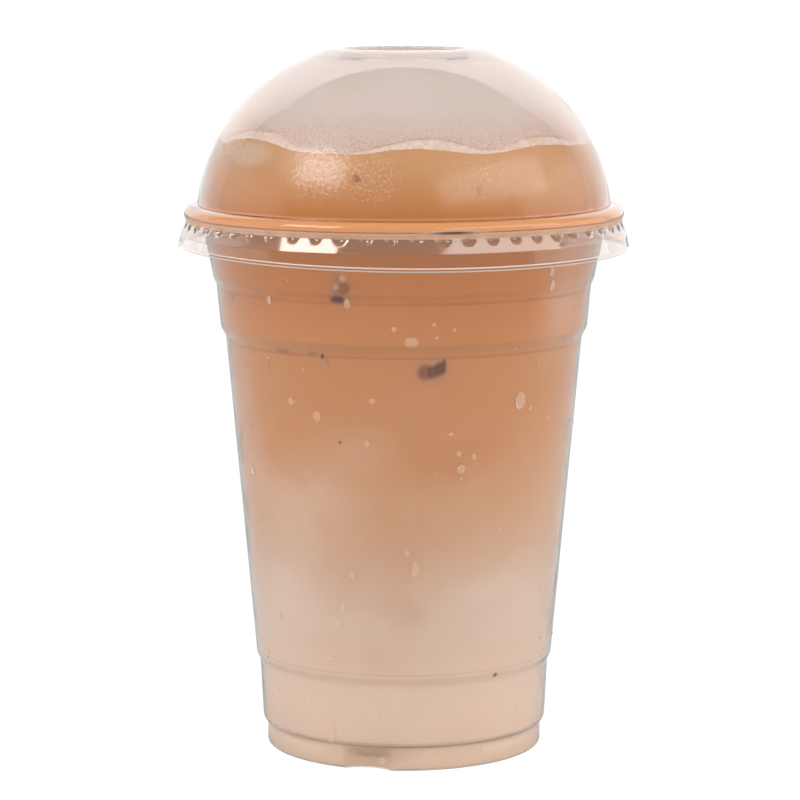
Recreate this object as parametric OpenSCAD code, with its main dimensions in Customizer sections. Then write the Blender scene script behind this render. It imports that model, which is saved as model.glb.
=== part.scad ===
// Clear takeaway cup of iced milk tea under a press-on dome lid.
// The origin is on the table at the cup's axis, and +Z points up.
// The photographed side faces -Y.

/* [Cup] */
// Outer diameter over the rolled rim
rim_d = 98; // [94:0.5:102]
// Height from the table to the top of the rim
cup_h = 124.4; // [116:0.2:136]
// Thickness of the cup's sheet
cup_wall = 0.5; // [0.35:0.05:0.8]
// Radius of the rolled rim's curl
curl_r = 1.5; // [1.2:0.05:1.7]

/* [Foot] */
// Outer diameter of the foot
foot_d = 63.3; // [58:0.1:67]
// Height of the foot below its shoulder
foot_h = 4.5; // [3.6:0.1:7]
// Radius of the foot's lower edge
foot_edge_r = 1.3; // [0.9:0.1:1.7]
// Width of the ring that the cup stands on
foot_ring_w = 6.4; // [5:0.1:9]
// How far the base panel is pushed up
base_rise = 3.2; // [2:0.1:3.6]
// Number of upright flutes round the foot
flute_n = 3; // [2:1:6]
// Radius of one flute
flute_r = 9.2; // [6:0.1:12]
// How deep a flute is pressed in
flute_depth = 2.6; // [1:0.1:3.2]
// Angle of the first flute from the front, towards +X
flute_turn = -15; // [-60:1:60]

/* [Wall] */
// Step out from the foot to the lower band
foot_step = 1.05; // [0.5:0.05:1.8]
// Rise of the step above the foot
foot_step_h = 2.1; // [1.4:0.1:3]
// Height at which the lower band ends
band_top = 19.2; // [14:0.1:30]
// Step out from the lower band to the main wall
band_step = 0.85; // [0.3:0.05:1.5]
// Rise of the step above the lower band
band_step_h = 2.8; // [1.5:0.1:4]
// Distance of the grip shoulder's top below the rim
grip_drop = 26.6; // [22:0.1:34]
// Step in at the grip shoulder
grip_step = 1.25; // [0.5:0.05:2]
// Rise of the grip shoulder
grip_step_h = 3.2; // [2:0.1:4.5]
// Distance of the stacking shoulder's top below the rim
stack_drop = 15.4; // [12:0.1:18]
// How far the wall above the stacking shoulder lies inside the rim's outside
stack_in = 5.35; // [4.6:0.05:7]
// Step in at the stacking shoulder
stack_step = 0.8; // [0.3:0.05:1.5]
// Rise of the stacking shoulder
stack_step_h = 2.4; // [1.5:0.1:3.5]
// Draft of the lower band, in degrees
band_draft = 3; // [1:0.1:5]
// Draft of the band between the two upper shoulders, in degrees
grip_draft = 5.4; // [2:0.1:7]

/* [Lid] */
// Thickness of the lid's sheet
lid_wall = 0.4; // [0.25:0.05:0.6]
// Gap between the rim's curl and the bead over it
bead_gap = 0.3; // [0.2:0.05:0.6]
// How far the bead's centre lies outside the curl's centre
bead_out = 0.45; // [0.3:0.05:0.6]
// How far the bead's centre lies above the curl's centre
bead_up = 0.15; // [0.1:0.05:0.4]
// Height of the lid's flat top above the rim
dome_h = 35.9; // [30:0.1:42]
// How far the dome's widest place lies inside the rim's outside
dome_in = 1.7; // [1.5:0.05:2.1]
// Height of the dome's widest place above the rim
dome_widest = -3.4; // [-5:0.1:0]
// Width of the flat top between the well and the line where the dome would meet it
top_ring = 3.1; // [2.6:0.1:8]
// Radius of the edge between the dome and its flat top
brow_r = 6; // [2:0.5:9]

/* [Straw hole] */
// Radius of the well in the flat top
well_r = 13.6; // [12.5:0.1:14.5]
// Depth of the well
well_depth = 2; // [1.2:0.1:4]
// How far the well's wall leans out towards its floor
well_lean = 0.7; // [0:0.1:1]
// Radius of the rounded lip of the well
lip_r = 0.8; // [0.5:0.1:1.2]
// Radius of the straw hole
hole_r = 10; // [4:0.5:12]

/* [Skirt] */
// Gap between the rim and the neck under the bead
neck_gap = 0.45; // [0.3:0.05:0.9]
// Distance of the neck below the bead's centre
neck_drop = 1.6; // [1.2:0.1:2]
// Height of the band that holds the dimples
tooth_h = 3.2; // [2.8:0.1:4.5]
// Flare of that band
tooth_flare = 0.8; // [0.5:0.05:1.2]
// Height of the lower flare
flare_h = 3.1; // [2:0.1:5]
// Flare of the skirt below the crease
flare = 1.25; // [0.6:0.05:2]
// Number of dimples
dimple_n = 56; // [24:1:60]
// Distance between a dimple's back and the edges of its band
dimple_edge = 0.05; // [0.05:0.05:0.4]
// Depth of a dimple
dimple_depth = 0.6; // [0.2:0.05:0.6]
// Height of the pin's round nose
dimple_nose = 0.25; // [0.1:0.05:0.3]

/* [Drink] */
// Height of the tea's surface above the rim
tea_above = 15.4; // [8:0.1:20]
// Thickness of the froth on the tea
froth_h = 2.4; // [1:0.1:5]
// Gap between the drink and the plastic
fill_gap = 0.1; // [0.05:0.05:0.4]
// Gap between the drink and the lid
lid_gap = 0.3; // [0.2:0.05:0.6]

/* [Ice] */
// Side of an ice cube
ice_side = 16; // [13:0.5:17]
// Radius that an ice cube has melted to
ice_melt_r = 10.3; // [9:0.1:11]
// How far the floating cubes' centres lie inside the dome's widest place
float_in = 21.3; // [20:0.1:25]
// Depth of the floating cubes' centres below the tea's surface
float_depth = 4; // [2:0.1:6]
// How far the sunk cubes' centres lie inside the cup's mouth
sunk_in = 17.5; // [17:0.1:22]
// Depth of the sunk cubes' centres below the tea's surface
sunk_depth = 44; // [38:0.5:60]

/* [Hidden] */
$fn = 96;
arc_steps = 5;
step_steps = 6;
dome_steps = 22;
dome_facets = 180;
ball_facets = 48;
pin_facets = 32;

// Small overlaps that keep cuts and joins clean
cut_past = 1;
mouth_past = 1;
bead_lap = 0.2;
bead_run_in = 8;

// The curl of the rim
curl_x = rim_d / 2 - curl_r;
curl_z = cup_h - curl_r;
curl_end = -72;
mouth_r = curl_x - curl_r + cup_wall;

// Radii and heights up the wall
foot_r = foot_d / 2;
ring_lean = 15;
panel_r = foot_r - foot_ring_w;
foot_top = foot_h + foot_step_h;
band_r = foot_r + foot_step;
band_end_r = band_r + (band_top - foot_top) * tan(band_draft);
wall_z = band_top + band_step_h;
wall_r = band_end_r + band_step;
grip_z = cup_h - grip_drop;
wall_end_z = grip_z - grip_step_h;
stack_z = cup_h - stack_drop;
stack_r = rim_d / 2 - stack_in;
grip_end_z = stack_z - stack_step_h;
grip_end_r = stack_r - stack_step;
grip_r = grip_end_r - (grip_end_z - grip_z) * tan(grip_draft);
wall_end_r = grip_r - grip_step;

// The lid: its dome is one arc that is widest at dome_z and would meet the flat top at top_r
bead_r = curl_r + bead_gap + lid_wall;
bead_x = curl_x + bead_out;
bead_z = curl_z + bead_up;
top_z = cup_h + dome_h;
top_r = well_r + lip_r + top_ring;
well_floor = top_z - well_depth;
dome_r = rim_d / 2 - dome_in;
dome_z = cup_h + dome_widest;
dome_span = dome_r - top_r;
dome_arc_r = (pow(top_z - dome_z, 2) + pow(dome_span, 2)) / (2 * dome_span);
dome_x = dome_r - dome_arc_r;
bead_reach = bead_x - dome_r + bead_lap;
bead_from = 90 + asin(bead_reach / bead_r);
bead_to = -20;
bead_top = bead_z + bead_r * sin(bead_from);
dome_from = asin((bead_top - dome_z) / dome_arc_r);
brow_x = dome_x + sqrt(pow(dome_arc_r - brow_r, 2) - pow(top_z - brow_r - dome_z, 2));
lip_from = 175;
brow_to = atan2(top_z - brow_r - dome_z, brow_x - dome_x);
neck_r = rim_d / 2 + neck_gap + lid_wall;
neck_z = bead_z - neck_drop;
crease_z = neck_z - tooth_h;
crease_r = neck_r + tooth_flare;
hem_z = crease_z - flare_h;
hem_r = crease_r + flare;
dimple_r = tooth_h / 2 - lid_wall - dimple_edge;
dimple_z = (neck_z + crease_z) / 2;
dimple_face = (neck_r + crease_r) / 2;
dimple_lean = atan(tooth_flare / tooth_h);
dimple_nose_r = (dimple_r ^ 2 + dimple_nose ^ 2) / (2 * dimple_nose);

// The drink
tea_z = cup_h + tea_above;
froth_z = tea_z + froth_h;
fill = cup_wall + fill_gap;
over_rim = cup_h + 0.4;
ice_room = 2;

float_r = dome_r - float_in;
float_z = tea_z - float_depth;
sunk_r = mouth_r - sunk_in;
sunk_z = tea_z - sunk_depth;

// Where the cubes lie: [angle from the front, shares of a cube outwards and upwards from their ring, tilt, turn]
sunk = [
    [-20, 0.14, 0.57, 20, 10],
    [9, -0.02, -0.52, 32, 25],
    [-43, -0.04, -1.2, 15, 40],
    [150, 0.06, 0.64, 30, 12],
    [-110, 0, 0.14, 14, 28],
];
floating = [
    [-42, 0, 0.04, 25, 15],
    [30, 0, -0.05, 12, 30],
    [102, 0, 0.04, 28, 5],
    [174, 0, -0.02, 18, 35],
    [-114, 0, -0.08, 22, 20],
];
ice = concat(
    [for (p = sunk) [p[0], sunk_r + p[1] * ice_side, sunk_z + p[2] * ice_side, p[3], p[4]]],
    [for (p = floating) [p[0], float_r + p[1] * ice_side, float_z + p[2] * ice_side, p[3], p[4]]]
);

// Points along an arc, from angle a to angle b
function arc(x, z, r, a, b, n = arc_steps) =
    [for (i = [0:n]) let (t = a + (b - a) * i / n) [x + r * cos(t), z + r * sin(t)]];

// Points of a soft S from one radius to another, up a shoulder
function shoulder(r0, z0, r1, z1) =
    [for (i = [0:step_steps]) let (s = i / step_steps) [r0 + (r1 - r0) * (1 - cos(180 * s)) / 2, z0 + (z1 - z0) * s]];

function backwards(line) = [for (i = [len(line) - 1:-1:0]) line[i]];
function after_first(line) = [for (i = [1:len(line) - 1]) line[i]];
function unit(v) = v / norm(v);

// A line moved by d to the left of the way it runs, with mitred corners
function shifted(line, d) = [
    for (i = [0:len(line) - 1])
        let (
            last = len(line) - 1,
            u = unit(line[max(i, 1)] - line[max(i, 1) - 1]),
            v = unit(line[min(i, last - 1) + 1] - line[min(i, last - 1)]),
            m = unit(u + v)
        )
        line[i] + [-m.y, m.x] * d / (m * v)
];

// Outside of the cup, from the axis under the base up to the curl
cup_foot = concat(
    [[0, base_rise]],
    arc(panel_r - foot_edge_r, base_rise - foot_edge_r, foot_edge_r, 90, ring_lean),
    arc(panel_r + foot_edge_r, foot_edge_r, foot_edge_r, 180 + ring_lean, 270),
    arc(foot_r - foot_edge_r, foot_edge_r, foot_edge_r, -90, 0)
);
cup_wall_line = concat(
    shoulder(foot_r, foot_h, band_r, foot_top),
    shoulder(band_end_r, band_top, wall_r, wall_z),
    shoulder(wall_end_r, wall_end_z, grip_r, grip_z),
    shoulder(grip_end_r, grip_end_z, stack_r, stack_z)
);
cup_line = concat(cup_foot, cup_wall_line);
curl_line = arc(curl_x, curl_z, curl_r - cup_wall, 180, curl_end, 5 * arc_steps);

// Outside of the lid, from the straw hole out over the dome to the hem
lid_line = concat(
    [[hole_r, well_floor], [well_r + well_lean, well_floor]],
    arc(well_r + lip_r, top_z - lip_r, lip_r, lip_from, 90),
    arc(brow_x, top_z - brow_r, brow_r, 90, brow_to),
    after_first(arc(dome_x, dome_z, dome_arc_r, brow_to, dome_from, dome_steps)),
    arc(bead_x, bead_z, bead_r, bead_from - bead_run_in, bead_to, 2 * arc_steps),
    [[neck_r, neck_z], [crease_r, crease_z], [hem_r, hem_z]]
);

// A thin sheet of revolution that follows a line, with its thickness on one side
module sheet(line, wall) {
    rotate_extrude()
        polygon(concat(line, backwards(shifted(line, wall))));
}

// What the cup holds up to a height: the cup's outside, drawn in by inset
module cup_inside(inset, top) {
    inner = shifted(concat(cup_line, [[mouth_r, curl_z]]), inset);
    rotate_extrude()
        polygon(concat([for (p = inner) [max(p.x, 0), p.y]], [[mouth_r - inset, top], [0, top]]));
}

// The dome's outside, drawn in by inset, between two heights
module dome_inside(inset, from, to) {
    rotate_extrude()
        intersection() {
            union() {
                translate([dome_x, dome_z])
                    circle(dome_arc_r - inset, $fn = dome_facets);
                if (dome_x > 0)
                    translate([0, dome_z - dome_arc_r])
                        square([dome_x, 2 * dome_arc_r]);
            }
            translate([0, from])
                square([dome_r, to - from]);
        }
}

// Upright flutes round the foot, grown by grow
module flutes(grow) {
    for (i = [0:flute_n - 1])
        rotate(flute_turn - 90 + 360 * i / flute_n)
            translate([foot_r - flute_depth + flute_r, 0, -cut_past])
                cylinder(r = flute_r + grow, h = cut_past + foot_h + grow);
}

// Pins square to the skirt's face, one to a dimple, grown by grow, with their outer end at top
module dimple_pins(grow, top) {
    pin_r = dimple_r + grow;
    pin_end = dimple_depth + grow;
    for (i = [0:dimple_n - 1])
        rotate(-90 + 360 * (i + 0.5) / dimple_n)
            translate([dimple_face, 0, dimple_z])
                rotate([0, 90 - dimple_lean, 0])
                    rotate_extrude($fn = pin_facets)
                        intersection() {
                            translate([0, -pin_end])
                                square([pin_r, pin_end + top]);
                            translate([0, dimple_nose_r - dimple_depth])
                                circle(dimple_nose_r + grow);
                        }
}

// One melted ice cube in its place
module ice_cube(i) {
    p = ice[i - 1];
    rotate(p[0] - 90)
        translate([p[1], 0, p[2]])
            rotate([p[4], p[3], 0])
                intersection() {
                    cube(ice_side, center = true);
                    sphere(ice_melt_r, $fn = ball_facets);
                }
}

// The ice that floats or rests in the drink, cut off where it leans on the plastic
module ice_block(i) {
    color([0.86, 0.8, 0.74, 0.7])
        intersection() {
            ice_cube(i);
            union() {
                cup_inside(fill, over_rim + mouth_past);
                dome_inside(lid_wall + lid_gap, over_rim, well_floor - ice_room);
            }
        }
}

module cup() {
    color([0.93, 0.93, 0.92, 0.35])
        difference() {
            union() {
                sheet(concat(cup_line, curl_line), cup_wall);
                intersection() {
                    flutes(cup_wall);
                    cup_inside(cup_wall / 2, over_rim);
                }
            }
            flutes(0);
        }
}

module lid() {
    color([0.95, 0.95, 0.95, 0.35])
        difference() {
            union() {
                sheet(backwards(lid_line), lid_wall);
                dimple_pins(lid_wall, -lid_wall / 2);
            }
            dimple_pins(0, lid_wall);
        }
}

module tea() {
    color([0.79, 0.55, 0.37])
        difference() {
            union() {
                cup_inside(fill, over_rim + mouth_past);
                dome_inside(lid_wall + lid_gap, over_rim, tea_z);
            }
            flutes(fill);
            for (i = [1:len(ice)])
                ice_cube(i);
        }
}

module froth() {
    color([0.88, 0.78, 0.7])
        difference() {
            dome_inside(lid_wall + lid_gap, tea_z, froth_z);
            for (i = [1:len(ice)])
                ice_cube(i);
        }
}

cup();
lid();
tea();
froth();
for (i = [1:len(ice)])
    ice_block(i);
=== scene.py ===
import bpy
import numpy as np
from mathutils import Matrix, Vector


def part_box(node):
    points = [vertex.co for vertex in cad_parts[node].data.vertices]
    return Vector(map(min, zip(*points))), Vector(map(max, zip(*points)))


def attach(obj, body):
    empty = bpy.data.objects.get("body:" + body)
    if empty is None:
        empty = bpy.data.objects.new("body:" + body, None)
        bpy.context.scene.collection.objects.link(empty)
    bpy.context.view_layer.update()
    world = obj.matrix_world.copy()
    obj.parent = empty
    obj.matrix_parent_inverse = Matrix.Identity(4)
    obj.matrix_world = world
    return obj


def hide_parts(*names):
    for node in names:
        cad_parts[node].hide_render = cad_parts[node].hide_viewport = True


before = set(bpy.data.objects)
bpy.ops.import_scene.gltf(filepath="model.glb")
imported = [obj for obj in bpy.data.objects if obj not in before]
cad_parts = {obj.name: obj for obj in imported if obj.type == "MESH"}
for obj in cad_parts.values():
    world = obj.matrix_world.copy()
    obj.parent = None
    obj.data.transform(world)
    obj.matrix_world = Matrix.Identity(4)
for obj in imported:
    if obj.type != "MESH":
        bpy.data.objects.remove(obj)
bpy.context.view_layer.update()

mm = 0.001
white = (1.0, 1.0, 1.0, 1.0)


# shared helpers for lines and surfaces; a line is rows of radius and height in mm

def arcLine(x, z, radius, startDeg, endDeg, steps):
    # centre plus the radius times (cosine, sine) of evenly spaced angles
    t = np.radians(np.linspace(startDeg, endDeg, steps + 1))
    return np.column_stack([x + radius * np.cos(t), z + radius * np.sin(t)])


def softStep(r0, z0, r1, z1, steps=8):
    # half a cosine wave from one radius to the next while the height rises evenly
    s = np.linspace(0, 1, steps + 1)
    return np.column_stack([r0 + (r1 - r0) * (1 - np.cos(np.pi * s)) / 2, z0 + (z1 - z0) * s])


def dropTwins(line):
    # leaves out points that lie on their forerunner
    keep = np.r_[True, np.linalg.norm(np.diff(line, axis=0), axis=1) > 1e-6]
    return line[keep]


def offsetLine(line, distance):
    # every point moves to the left of the line by the distance, with mitred corners
    step = np.diff(line, axis=0)
    step /= np.linalg.norm(step, axis=1)[:, None]
    before, after = np.vstack([step[:1], step]), np.vstack([step, step[-1:]])
    middle = before + after
    middle /= np.linalg.norm(middle, axis=1)[:, None]
    left = np.column_stack([-middle[:, 1], middle[:, 0]])
    return line + left * (distance / (middle * after).sum(1))[:, None]


def fillRows(line, longest):
    # shares each stretch longer than the limit into equal parts
    rows = [line[:1]]
    for a, b in zip(line[:-1], line[1:]):
        parts = max(1, int(np.ceil(np.linalg.norm(b - a) / longest)))
        rows.append(a + (b - a) * (np.arange(1, parts + 1) / parts)[:, None])
    return np.vstack(rows)


def smoothRamp(x, low, high):
    # 0 below low, 1 above high, and 3t^2 - 2t^3 between
    t = np.clip((x - low) / (high - low), 0, 1)
    return t * t * (3 - 2 * t)


def softLess(a, b, width):
    # the lesser of two values, with the change-over rounded across the width
    h = np.clip(0.5 + 0.5 * (b - a) / width, 0, 1)
    return b + (a - b) * h - width * h * (1 - h)


def roundTurns(around):
    # evenly spaced angles of one turn, as a row
    return 2 * np.pi * np.arange(around)[None, :] / around


def gridFaces(rows, columns, loop):
    # a quad between each pair of rows and columns; the columns always close, the rows where asked
    i = np.arange(rows if loop else rows - 1)[:, None]
    j = np.arange(columns)[None, :]
    a, b = i * columns, ((i + 1) % rows) * columns
    k = (j + 1) % columns
    return np.stack([a + j, a + k, b + k, b + j], axis=-1).reshape(-1, 4)


def spun(radius, height, angle, poles=(None, None), loop=False):
    # turns radius and height about the axis: x = r sin a, y = -r cos a, with a measured from the front;
    # a pole is the height of the point on the axis that closes the first or the last row
    x, y = radius * np.sin(angle), -radius * np.cos(angle)
    points = np.stack([x, y, height + 0 * angle], axis=-1).reshape(-1, 3)
    rows, columns = x.shape
    faces = gridFaces(rows, columns, loop).tolist()
    for row, pole in zip((0, rows - 1), poles):
        if pole is not None:
            tip, ring = len(points), row * columns + np.arange(columns)
            points = np.vstack([points, [0, 0, pole]])
            ends = (np.roll(ring, -1), ring) if row == 0 else (ring, np.roll(ring, -1))
            faces += np.stack([*ends, np.full(columns, tip)], axis=-1).tolist()
    return points, faces


def meshObject(name, points, faces, body, sharpDeg=50.0):
    # a smooth piece from points in mm, on its body
    mesh = bpy.data.meshes.new(name)
    mesh.from_pydata(points * mm, [], faces)
    mesh.update()
    mesh.polygons.foreach_set("use_smooth", np.ones(len(mesh.polygons), bool))
    mesh.set_sharp_from_angle(angle=np.radians(sharpDeg))
    piece = bpy.data.objects.new(name, mesh)
    bpy.context.scene.collection.objects.link(piece)
    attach(piece, body)
    return piece


# shared helpers for materials

def paint(red, green, blue):
    # a screen colour, 0 to 255, as the linear value that a shader takes
    c = np.array([red, green, blue]) / 255
    return (*np.where(c <= 0.04045, c / 12.92, ((c + 0.055) / 1.055) ** 2.4), 1.0)


def putNode(tree, kind, inputs=None, **settings):
    # a new node: its settings first, then each input linked where it is given a socket, or else set
    node = tree.nodes.new(kind)
    for key, value in settings.items():
        setattr(node, key, value)
    for key, value in (inputs or {}).items():
        if isinstance(value, bpy.types.NodeSocket):
            tree.links.new(value, node.inputs[key])
        else:
            node.inputs[key].default_value = value
    return node


def ramped(tree, value, low, high, toLow=0.0, toHigh=1.0):
    # a smooth step of a value from one range to another
    inputs = {"Value": value, "From Min": low, "From Max": high, "To Min": toLow, "To Max": toHigh}
    return putNode(tree, "ShaderNodeMapRange", inputs, interpolation_type="SMOOTHSTEP").outputs["Result"]


def worked(tree, operation, first, *others):
    # the same sum done on the first value and each of the others in turn
    for other in others:
        first = putNode(tree, "ShaderNodeMath", {0: first, 1: other}, operation=operation).outputs[0]
    return first


def product(tree, *values):
    # the values multiplied together
    return worked(tree, "MULTIPLY", *values)


def greatest(tree, *values):
    # the greatest of the values
    return worked(tree, "MAXIMUM", *values)


def shifted(tree, place, offset, share):
    # a value or vector moved by its share of the offset's distance from one half
    centred = worked(tree, "SUBTRACT", offset, 0.5)
    return worked(tree, "ADD", place, product(tree, centred, share))


def vectorWorked(tree, operation, *values, result=0):
    # a sum done on vectors
    node = putNode(tree, "ShaderNodeVectorMath", dict(enumerate(values)), operation=operation)
    return node.outputs[result]


def mixed(tree, share, a, b):
    # colour a turning to colour b with the share
    return putNode(tree, "ShaderNodeMix", {0: share, 6: a, 7: b}, data_type="RGBA").outputs[2]


def painted(tree, colour, tone, *shares):
    # a colour turning to a screen colour with the product of the shares
    return mixed(tree, product(tree, *shares), colour, paint(*tone))


def noiseValue(tree, place, scale, detail=3.0, roughness=0.5, distortion=0.0, result="Fac"):
    # soft noise at a place, mostly between 0.3 and 0.7
    inputs = {"Vector": place, "Scale": scale, "Detail": detail, "Roughness": roughness,
              "Distortion": distortion}
    return putNode(tree, "ShaderNodeTexNoise", inputs).outputs[result]


def cellValue(tree, place, scale):
    # the distance from the nearest of scattered points
    inputs = {"Vector": place, "Scale": scale, "Randomness": 1.0}
    return putNode(tree, "ShaderNodeTexVoronoi", inputs, feature="F1").outputs["Distance"]


def heightOf(tree, place):
    # how high a place is above the floor, in metres
    return putNode(tree, "ShaderNodeSeparateXYZ", {0: place}).outputs["Z"]


def bumped(tree, height, strength, distance, **more):
    # a normal tipped by the slope of a height
    inputs = {"Strength": strength, "Distance": distance, "Height": height, **more}
    return putNode(tree, "ShaderNodeBump", inputs).outputs[0]


def principled(tree, colour, rough, normal, **more):
    # the general shader; further inputs are given with _ for their spaces
    inputs = {"Base Color": colour, "Roughness": rough, "Normal": normal}
    inputs.update({key.replace("_", " "): value for key, value in more.items()})
    return putNode(tree, "ShaderNodeBsdfPrincipled", inputs).outputs[0]


def diffuse(tree, colour, rough=0.0):
    # a dull surface
    return putNode(tree, "ShaderNodeBsdfDiffuse", {"Color": colour, "Roughness": rough}).outputs[0]


def blended(tree, share, a, b):
    # shader a turning to shader b with the share
    return putNode(tree, "ShaderNodeMixShader", {0: share, 1: a, 2: b}).outputs[0]


def newMaterial(name):
    # an empty material, its node tree, and the place on the piece in metres
    material = bpy.data.materials.new(name)
    material.use_nodes = True
    tree = material.node_tree
    tree.nodes.clear()
    place = tree.nodes.new("ShaderNodeTexCoord").outputs["Object"]
    return material, tree, place


def finishMaterial(material, shader):
    # the shader becomes the surface of the material
    putNode(material.node_tree, "ShaderNodeOutputMaterial", {"Surface": shader})
    return material


def letLightThrough(tree, shader):
    # lamps and soft bounces pass the clear sheet unbent, so that what it holds is lit without caustics
    path = tree.nodes.new("ShaderNodeLightPath")
    passing = greatest(tree, path.outputs["Is Shadow Ray"], path.outputs["Is Diffuse Ray"])
    clear = putNode(tree, "ShaderNodeBsdfTransparent", {"Color": (0.96, 0.96, 0.96, 1)})
    return blended(tree, passing, shader, clear.outputs[0])


def newGroup(name, inputs, output):
    # an empty node group; its inputs and its output are given by name and kind
    group = bpy.data.node_groups.new(name, "ShaderNodeTree")
    for label, kind in inputs.items():
        group.interface.new_socket(label, in_out="INPUT", socket_type="NodeSocket" + kind)
    label, kind = output
    group.interface.new_socket(label, in_out="OUTPUT", socket_type="NodeSocket" + kind)
    start, end = group.nodes.new("NodeGroupInput"), group.nodes.new("NodeGroupOutput")
    return group, start.outputs, end.inputs[label]


def useGroup(tree, group, inputs):
    # one use of a node group
    return putNode(tree, "ShaderNodeGroup", inputs, node_tree=group).outputs[0]


def rippleGroup():
    # the slight waves of a drawn plastic sheet, as a normal
    sockets = {"Place": "Vector", "Strength": "Float"}
    group, given, result = newGroup("sheetRipple", sockets, ("Normal", "Vector"))
    wide = noiseValue(group, given["Place"], 45.0, 1.0)
    fine = noiseValue(group, given["Place"], 260.0, 2.0)
    height = worked(group, "ADD", wide, product(group, fine, 0.12))
    group.links.new(bumped(group, height, given["Strength"], 0.0004), result)
    return group


def bandGroup():
    # a mask by height: it rises from Start to Full, and falls from Fade to End
    sockets = {"Height": "Float", "Start": "Float", "Full": "Float", "Fade": "Float", "End": "Float"}
    group, given, result = newGroup("heightBand", sockets, ("Mask", "Float"))
    up = ramped(group, given["Height"], given["Start"], given["Full"])
    down = ramped(group, given["Height"], given["Fade"], given["End"], 1.0, 0.0)
    group.links.new(product(group, up, down), result)
    return group


def spotGroup():
    # a mask round a point: 1 inside an oval and 0 outside it, by the length of the stretched distance
    sockets = {"Place": "Vector", "Spot": "Vector", "Stretch": "Vector", "Near": "Float", "Far": "Float"}
    group, given, result = newGroup("ovalSpot", sockets, ("Mask", "Float"))
    moved = vectorWorked(group, "SUBTRACT", given["Place"], given["Spot"])
    scaled = vectorWorked(group, "MULTIPLY", moved, given["Stretch"])
    reach = vectorWorked(group, "LENGTH", scaled, result="Value")
    group.links.new(ramped(group, reach, given["Near"], given["Far"], 1.0, 0.0), result)
    return group


sheetRipple, heightBand, ovalSpot = rippleGroup(), bandGroup(), spotGroup()


def bandMask(tree, height, low, high, soft):
    # 1 between two heights in mm, easing to 0 outside them
    inputs = {"Height": height, "Start": (low - soft) * mm, "Full": (low + soft) * mm,
              "Fade": (high - soft) * mm, "End": (high + soft) * mm}
    return useGroup(tree, heightBand, inputs)


def nearMark(tree, place, angleDeg, height, halfWide, halfHigh, soft=0.5):
    # 1 inside an upright oval round a point of the drink's wall, easing to 0 at its edge
    wide, high = 1 / (halfWide * mm), 1 / (halfHigh * mm)
    inputs = {"Place": place, "Spot": tuple(onWall(angleDeg, height)), "Stretch": (wide, wide, high),
              "Near": 1 - soft, "Far": 1 + soft}
    return useGroup(tree, ovalSpot, inputs)


def sheetNormal(tree, place):
    # the ripple of the sheet, as a normal
    return useGroup(tree, sheetRipple, {"Place": place, "Strength": 0.25})


def glassShader(tree, tint, rough, normal):
    # clear plastic that light passes and bends in
    return principled(tree, tint, rough, normal, IOR=1.5, Transmission_Weight=1.0)




# the cup: one drawn sheet with a fluted foot, four shoulders and a rolled rim

cupMake = {
    "rimD": 98.0, "height": 124.4, "wall": 0.5, "curlR": 1.5, "curlEnd": -72.0, "poleR": 1.5,
    "footD": 63.3, "footH": 4.5, "edgeR": 0.7, "ringW": 6.4, "baseRise": 3.2, "ringLean": 15.0,
    "footStep": 1.05, "footStepH": 2.1, "bandTop": 19.2, "bandStep": 0.85, "bandStepH": 2.8,
    "bandDraft": 3.0, "gripDrop": 26.6, "gripStep": 1.25, "gripStepH": 3.2, "gripDraft": 5.4,
    "stackDrop": 15.4, "stackStep": 0.8, "stackStepH": 2.4, "stackIn": 5.35,
    # the flutes press in what lies outside fluteFrom, and fade out between two heights from the foot's top;
    # the sheet is thinner at the foot, and grows to its full thickness between two heights
    "flutes": 3, "fluteR": 9.2, "fluteDepth": 2.6, "fluteTurn": -15.0, "fluteSoft": 0.35, "fluteFrom": 26.0,
    "fluteFade": (-2.4, 0.4), "footWall": 0.2, "footWallTo": (1.5, 6.0),
    "around": 290, "footRows": 13, "longestRow": 1.7,
    "tint": (0.975, 0.955, 0.945, 1), "smearScale": 110.0, "rough": (0.03, 0.12),
}


def cupOutside():
    # the line from the axis under the base, round the foot ring and up the wall
    m = cupMake
    e, lean, bandTop = m["edgeR"], m["ringLean"], m["bandTop"]
    foot = m["footD"] / 2
    panel = foot - m["ringW"]
    footTop = m["footH"] + m["footStepH"]
    band = foot + m["footStep"]
    bandEnd = band + (bandTop - footTop) * np.tan(np.radians(m["bandDraft"]))
    gripZ = m["height"] - m["gripDrop"]
    stackZ = m["height"] - m["stackDrop"]
    stackR = m["rimD"] / 2 - m["stackIn"]
    gripEndZ, gripEndR = stackZ - m["stackStepH"], stackR - m["stackStep"]
    gripR = gripEndR - (gripEndZ - gripZ) * np.tan(np.radians(m["gripDraft"]))
    under = np.vstack([[[m["poleR"], m["baseRise"]]],
                       arcLine(panel - e, m["baseRise"] - e, e, 90, lean, 5),
                       arcLine(panel + e, e, e, 180 + lean, 270, 5),
                       arcLine(foot - e, e, e, -90, 0, 6)])
    wall = np.vstack([np.linspace([foot, e + 0.2], [foot, m["footH"]], m["footRows"]),
                      softStep(foot, m["footH"], band, footTop),
                      softStep(bandEnd, bandTop, bandEnd + m["bandStep"], bandTop + m["bandStepH"]),
                      softStep(gripR - m["gripStep"], gripZ - m["gripStepH"], gripR, gripZ),
                      softStep(gripEndR, gripEndZ, stackR, stackZ)])
    return under, wall


def wallAt(height):
    # the sheet's thickness, which grows from the foot's to the wall's by a smooth ramp
    m = cupMake
    return m["footWall"] + (m["wall"] - m["footWall"]) * smoothRamp(height, *m["footWallTo"])


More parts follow.
